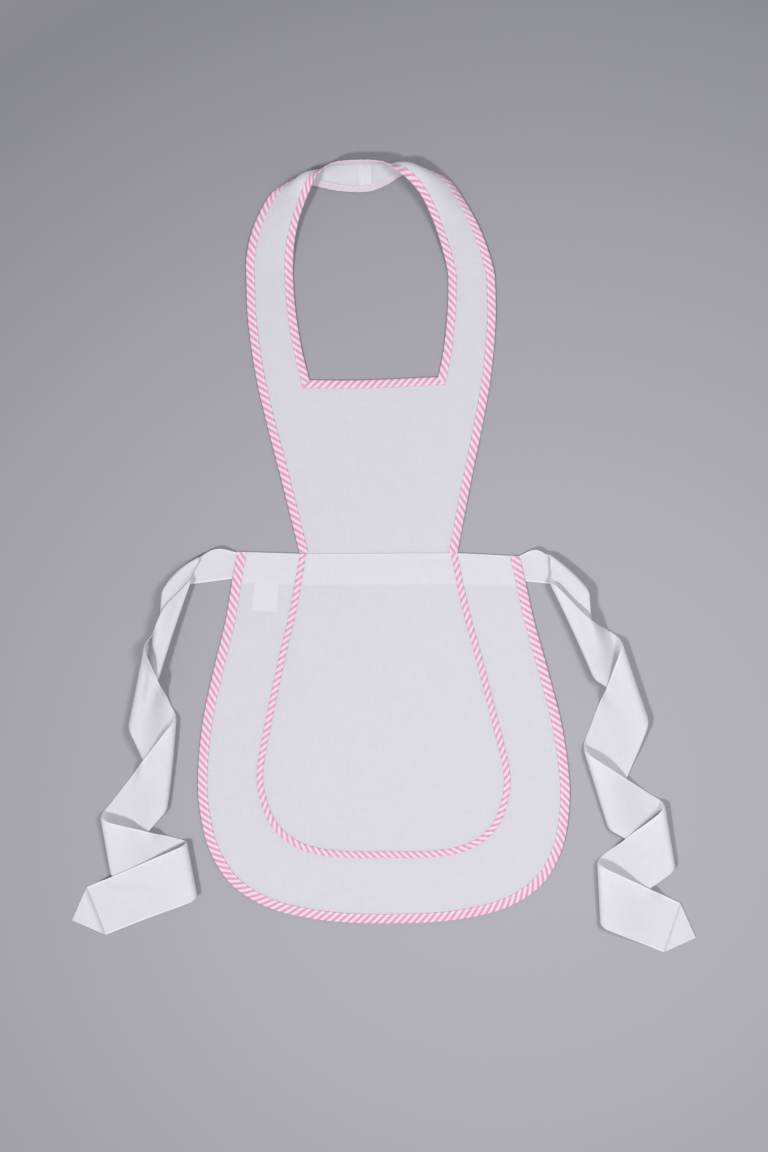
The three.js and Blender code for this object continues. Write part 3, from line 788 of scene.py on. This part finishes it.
# Columns of mesh from a tie's upper edge to its lower one, closer together near the edges.
TIE_SHARES = (1 - np.cos(np.linspace(0, math.pi, 17))) / 2
ROLL_ANGLES = np.radians(np.linspace(-90, 90, 11))
POINT_SHARES = (0.2, 0.4, 0.6, 0.8, 0.94, 1 - 1e-3)     # rows of mesh from the crease to the tip
ROW_SPACING = 3             # from one row of mesh to the next
SMALLEST_GAP = 0.05         # rows closer together than this are left out
ROWS_AT_FOLD = 8            # this many rows before a fold are not felt by the stretch after it
PASSES_ALONG = 6            # how often a stretch's heights are smoothed along it
PASSES_ACROSS = 3
MAX_SLANT = 1.2             # how far the tie moves along a fold for each unit round it
CORNER = 2                  # radius of the corners at the ends of a fold
SETTLING = 75               # how far along the tie a roll's height dies away
BILLOW_HEIGHT = 7           # how high a bulging edge stands
BILLOW_SKEW = 1.35          # over 1, and its highest place is past half way along
BILLOW_SHARPNESS = 1.1      # over 1, and it starts and ends more gently
RISE_LENGTH = 30            # how far before a fold the tie starts to stand up
CLEARANCE = 1.0             # between a layer of the tie and the one over it
FOLD_FREE = 9               # no layer below is felt this close to the last fold
CELL = 5                    # size of a cell in the map of how high the layers lie
TIE_Z = 0.45                # the least height at which a tie's cloth lies
TIE_WAVE = 0.35             # how far it waves up and down, all of it above that
WAVE_LENGTH = 38            # the scale of those waves along the tie
WAVES_ACROSS = 1.3          # and how many fit across it
FLAP_GAP = 0.7              # from the tie up to its pointed end's turned-in layer


def ease(s):
    s = np.clip(s, 0, 1)
    return s * s * s * (s * (6 * s - 15) + 10)


def across(upper, lower):
    """A row from the tie's upper edge to its lower one."""
    shares = TIE_SHARES[:, None]
    return np.array(upper, float) * (1 - shares) + np.array(lower, float) * shares


def corner_rounding():
    """How far each column stops short of a fold, which rounds the fold's ends."""
    from_edge = np.minimum(TIE_SHARES, 1 - TIE_SHARES) * TIE_WIDTH
    into_corner = np.maximum(CORNER - from_edge, 0)
    return CORNER - np.sqrt(CORNER ** 2 - into_corner ** 2)


def fold_rows(before, fold, after):
    """The row of the tie at each angle round one fold, seen from above, and the roll's radius at each
    column. The tie meets the fold at a slant, so it moves along the fold as it goes round, like a
    ribbon round a pencil."""
    upper, lower, upper_roll, lower_roll, bow = fold
    axis = (np.array(lower) - upper) / math.dist(upper, lower)
    out = np.array([axis[1], -axis[0]])
    middle = (np.array(upper) + lower) / 2
    coming, going = middle - before, after - middle
    if out @ (coming - going) < 0:
        out = -out
    slant = ((coming @ axis) / (coming @ out) - (going @ axis) / (going @ out)) / 2
    slant = np.clip(slant, -MAX_SLANT, MAX_SLANT)
    outward = bow * 4 * TIE_SHARES * (1 - TIE_SHARES) - corner_rounding()
    line = across(upper, lower) + outward[:, None] * out
    roll = upper_roll * (1 - TIE_SHARES) + lower_roll * TIE_SHARES
    rows = [line + roll[:, None] * ((math.cos(t) - 1) * out + slant * t * axis) for t in ROLL_ANGLES]
    return np.array(rows), roll


class Layers:
    """How high the cloth laid so far reaches, on a grid of cells."""

    def __init__(self):
        self.top = {}

    def add(self, grid):
        for x, y, z in grid.reshape(-1, 3):
            cell = (round(x / CELL), round(y / CELL))
            self.top[cell] = max(self.top.get(cell, 0), z)

    def under(self, x, y):
        i, j = round(x / CELL), round(y / CELL)
        return max(self.top.get((i + di, j + dj), 0) for di in (-1, 0, 1) for dj in (-1, 0, 1))


def smoothed(values, passes):
    for _ in range(passes):
        middle = (values[:-2] + 2 * values[1:-1] + values[2:]) / 4
        values = np.concatenate([values[:1], middle, values[-1:]])
    return values


def lay_stretch(start, end, start_z, layers, bulge=None, rise=0):
    """The tie from one fold to the next: down from the roll it leaves, over whatever lies below. A
    bulge is how far its upper edge billows out at most, and rise how high its end stands."""
    length = np.linalg.norm(end.mean(axis=0) - start.mean(axis=0))
    count = max(round(length / ROW_SPACING), 4)
    steps = np.linspace(0, 1, count + 1)[:, None, None]
    flat = start * (1 - steps) + end * steps
    if bulge is not None:
        swell = np.sin(math.pi * steps ** BILLOW_SKEW) ** BILLOW_SHARPNESS
        billow = swell * (1 - TIE_SHARES[None, :, None])
        flat = flat + billow * np.array(bulge)
    travelled = steps[:, :, 0] * length
    falling = 1 - ease(travelled / SETTLING)
    below = np.array([[layers.under(x, y) for x, y in row] for row in flat])
    below = np.where(below > 0, below + CLEARANCE, 0)
    below = below * (travelled > FOLD_FREE)
    z = np.maximum(start_z[None] * falling, below)
    if bulge is not None:
        z = z + BILLOW_HEIGHT * billow[..., 0]
    z = z + rise * np.clip(1 - (1 - steps[:, :, 0]) * length / RISE_LENGTH, 0, 1) ** 2
    z = smoothed(z, PASSES_ALONG)
    z = smoothed(z.T, PASSES_ACROSS).T
    z = np.maximum(z, below - CLEARANCE / 2)
    z = smoothed(z, 1)
    return np.concatenate([flat, z[..., None]], axis=2)


def folded_strip(tie):
    """Every point of the tie from the skirt to the crease of its pointed end, row by row."""
    folds = [fold[:2] for fold in tie["folds"]]
    middles = [np.mean(place, axis=0) for place in (tie["start"], *folds, tie["end"])]
    turns = [fold_rows(middles[i], fold, middles[i + 2]) for i, fold in enumerate(tie["folds"])]
    layers = Layers()
    grids = []
    start, start_z = across(*tie["start"]), np.zeros(len(TIE_SHARES))
    earlier = None
    for index, (rows, roll) in enumerate(turns):
        bulge, rise = tie["bulges"].get(index), tie["rises"].get(index, 0)
        laid = lay_stretch(start, rows[0], start_z, layers, bulge, rise)
        if earlier is not None:
            layers.add(earlier)
        earlier = laid
        z = [laid[-1, :, 2] + roll * (1 + math.sin(t)) for t in ROLL_ANGLES[1:]]
        turned = np.concatenate([rows[1:], np.array(z)[..., None]], axis=2)
        grids += [laid, turned]
        layers.add(laid[:-ROWS_AT_FOLD])
        start, start_z = rows[-1], turned[-1, :, 2]
    grids.append(lay_stretch(start, across(*tie["end"]), start_z, layers))
    grid = smoothed(np.concatenate(grids), 2)
    gaps = np.linalg.norm(np.diff(grid.mean(axis=1), axis=0), axis=1)
    return grid[np.concatenate([[True], gaps > SMALLEST_GAP])]


def tie_grid(tie, seed):
    """Every point of the tie, how far along each row is, and which row the pointed end starts at."""
    strip = folded_strip(tie)
    tip = np.array((*tie["tip"], 0.0))
    point = [strip[-1] * (1 - s) + tip * s for s in POINT_SHARES]
    grid = np.concatenate([strip, np.array(point)])
    along = distances(grid.mean(axis=1))
    for row, s in zip(grid, along):
        for place, share in zip(row, TIE_SHARES):
            wave = noise.noise(Vector((s / WAVE_LENGTH, share * WAVES_ACROSS, seed)))
            place[2] += TIE_Z + TIE_WAVE * (1 + wave)
    return grid, along, len(strip) - 1


def grid_normals(grid):
    """Which way is up out of a tie's front at each of its points."""
    normals = np.cross(np.gradient(grid, axis=1), np.gradient(grid, axis=0))
    size = np.linalg.norm(normals, axis=2)[..., None]
    return normals / np.maximum(size, 1e-9)


def tie_pieces(name, tie, seed):
    """A tie's cloth, and its two hems and the turned-in layer of its pointed end."""
    grid, along, tip_row = tie_grid(tie, seed)
    uvs = [[((share - 0.5) * TIE_WIDTH, s) for share in TIE_SHARES] for s in along]
    cloth = grid_piece(name, grid, tie_cotton, uvs)
    cloth["length"] = float(along[-1])
    strip, normals = grid[:tip_row + 1], grid_normals(grid)[:tip_row + 1]
    hems = []
    for edge, column, inner, beside in (("upper", 0, 2, 1), ("lower", -1, -3, -2)):
        inward = strip[:, inner] - strip[:, column]
        hem_name = f"{name}_{edge}_hem"
        hems.append(hem_along(hem_name, strip[:, column], inward, normals[:, beside], doubled_cotton))
    flap = np.concatenate([grid[tip_row:tip_row + 1], grid[tip_row:]])
    flap[1:, :, 2] += FLAP_GAP
    flap_uvs = [uvs[tip_row], *uvs[tip_row:]]
    hems.append(grid_piece(f"{name}_point_flap", flap, tie_cotton, flap_uvs))
    return cloth, hems


tie_left, left_hems = tie_pieces("tie_strip_left", LEFT_TIE, 1.3)
tie_right, right_hems = tie_pieces("tie_strip_right", RIGHT_TIE, 5.9)

# ---------------------------------------------------------------- bodies

for obj, node in (
    (skirt, "skirt_panel"), (skirt_binding, "skirt_binding"), (skirt_trim, "skirt_trim"),
    (waistband, "waistband"), (label, "care_label"),
    (bib, "bib_panel"), (bib_left, "bib_binding_left"), (bib_right, "bib_binding_right"),
    (neck_left, "neckline_binding_left"), (neck_right, "neckline_binding_right"),
    (neck_bottom, "neckline_binding_bottom"),
    (loop_left, "neck_loop_left"), (loop_right, "neck_loop_right"),
    (loop_inner, "loop_inner_binding"), (loop_outer, "loop_outer_binding"),
    (tie_left, "tie_left"), (tie_right, "tie_right"),
):
    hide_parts(node)

for obj in (skirt, skirt_binding, skirt_trim, waistband, top_fold):
    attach(obj, "skirt")
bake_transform(label)
for obj in (neck_left, neck_right, neck_bottom):
    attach(obj, "bib")
for obj in (bib, bib_left, bib_right):
    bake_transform(obj)
for obj in (loop_left, loop_right, loop_inner, loop_outer):
    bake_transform(obj)
for obj in (left_allowance, right_allowance):
    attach(obj, "neck_loop")
for obj in (tie_left, *left_hems):
    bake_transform(obj)
for obj in (tie_right, *right_hems):
    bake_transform(obj)

# ---------------------------------------------------------------- floor, light and camera

FLOOR_HALF = 9              # half its width, in metres
FLOOR_CORNERS = [(-1, -1), (1, -1), (1, 1), (-1, 1)]
# The floor's tone is painted light: a pool of light painted brightest at this spot, with painted shade
# further out, standing in for the lamps' falloff and vignetting. Its colours at the centre and at the edge
# follow.
PAINTED_LIGHT_POOL = (0.12, -0.25, 0)
PAINTED_FALLOFF_POWER = 1.6             # the power of the distance from there by which painted shade darkens the floor, standing in for the lamps' falloff
PAINTED_POOL_BRIGHT = (0.36, 0.355, 0.378, 1)
PAINTED_POOL_DIM = (0.208, 0.208, 0.226, 1)
FLOOR_FAR = (0.42, 0.415, 0.435, 1)
FAR_START, FAR_END = 0.95, 2.4      # where that tone sets in and where it is all there is


def floor_colour(tree):
    """Pale paper with a painted pool of light, brightest below the apron's middle and painted darker further
    out, a little grainy, and pale again far away.
    """
    place = add_node(tree, "ShaderNodeTexCoord").outputs["Object"]
    reach = add_node(tree, "ShaderNodeVectorMath", {0: place, 1: PAINTED_LIGHT_POOL}, operation="DISTANCE")
    # painted shade: the floor is painted darker with distance from the painted pool of light
    painted_falloff = math_node(tree, "POWER", reach.outputs["Value"], PAINTED_FALLOFF_POWER)
    paper = add_node(tree, "ShaderNodeTexNoise", {"Vector": place, "Scale": 260.0, "Detail": 5.0})
    grain = math_node(tree, "MULTIPLY_ADD", paper.outputs["Fac"], 0.05, painted_falloff)
    tone = add_node(tree, "ShaderNodeMixRGB", {
        "Fac": grain, "Color1": PAINTED_POOL_BRIGHT, "Color2": PAINTED_POOL_DIM,
    })
    far_away = add_node(tree, "ShaderNodeMapRange", {
        "Value": reach.outputs["Value"], "From Min": FAR_START, "From Max": FAR_END,
        "To Min": 0.0, "To Max": 1.0,
    })
    backdrop = add_node(tree, "ShaderNodeMixRGB", {
        "Fac": far_away.outputs[0], "Color1": tone.outputs[0], "Color2": FLOOR_FAR,
    })
    return backdrop.outputs[0]


floor_mesh = bpy.data.meshes.new("floor")
floor_mesh.from_pydata([(FLOOR_HALF * x, FLOOR_HALF * y, 0) for x, y in FLOOR_CORNERS], [], [(0, 1, 2, 3)])
floor = bpy.data.objects.new("floor", floor_mesh)
bpy.context.scene.collection.objects.link(floor)
floor_material, floor_tree, floor_shader = node_tree("pale_floor")
floor_tree.links.new(floor_colour(floor_tree), floor_shader.inputs["Base Color"])
floor_shader.inputs["Roughness"].default_value = 0.95
floor_shader.inputs["Specular IOR Level"].default_value = 0.1
floor_mesh.materials.append(floor_material)


def area_light(name, place, aim, size, power, colour):
    light = bpy.data.lights.new(name, "AREA")
    light.shape = "DISK"
    light.size = size
    light.energy = power
    light.color = colour
    obj = bpy.data.objects.new(name, light)
    obj.location = place
    obj.rotation_euler = (Vector(aim) - Vector(place)).to_track_quat("-Z", "Y").to_euler()
    bpy.context.scene.collection.objects.link(obj)


area_light(
    "key", place=(-2.62, -2.4, 4.8), aim=(0.25, -0.1, 0), size=0.68, power=213, colour=(1, 0.99, 1),
)
area_light(
    "fill", place=(1.35, 0.1, 2.7), aim=(0.2, -0.1, 0), size=1.1, power=45, colour=(0.98, 0.99, 1),
)

world = bpy.data.worlds.new("studio")
bpy.context.scene.world = world
world.use_nodes = True
background = world.node_tree.nodes["Background"]
background.inputs["Color"].default_value = (0.95, 0.96, 1, 1)
background.inputs["Strength"].default_value = 0.40

CAMERA_HEIGHT = 2.2         # metres
CAMERA_SPOT = (0.0058, -0.0083)
FRAME_HEIGHT = 1.319        # how much of the floor the picture takes in, from top to bottom
camera_data = bpy.data.cameras.new("camera")
camera_data.sensor_fit = "VERTICAL"
camera_data.sensor_height = 36
camera_data.lens = camera_data.sensor_height * CAMERA_HEIGHT / FRAME_HEIGHT
camera = bpy.data.objects.new("camera", camera_data)
camera.location = (*CAMERA_SPOT, CAMERA_HEIGHT)
bpy.context.scene.collection.objects.link(camera)
bpy.context.scene.camera = camera
bpy.context.scene.view_settings.view_transform = "Standard"
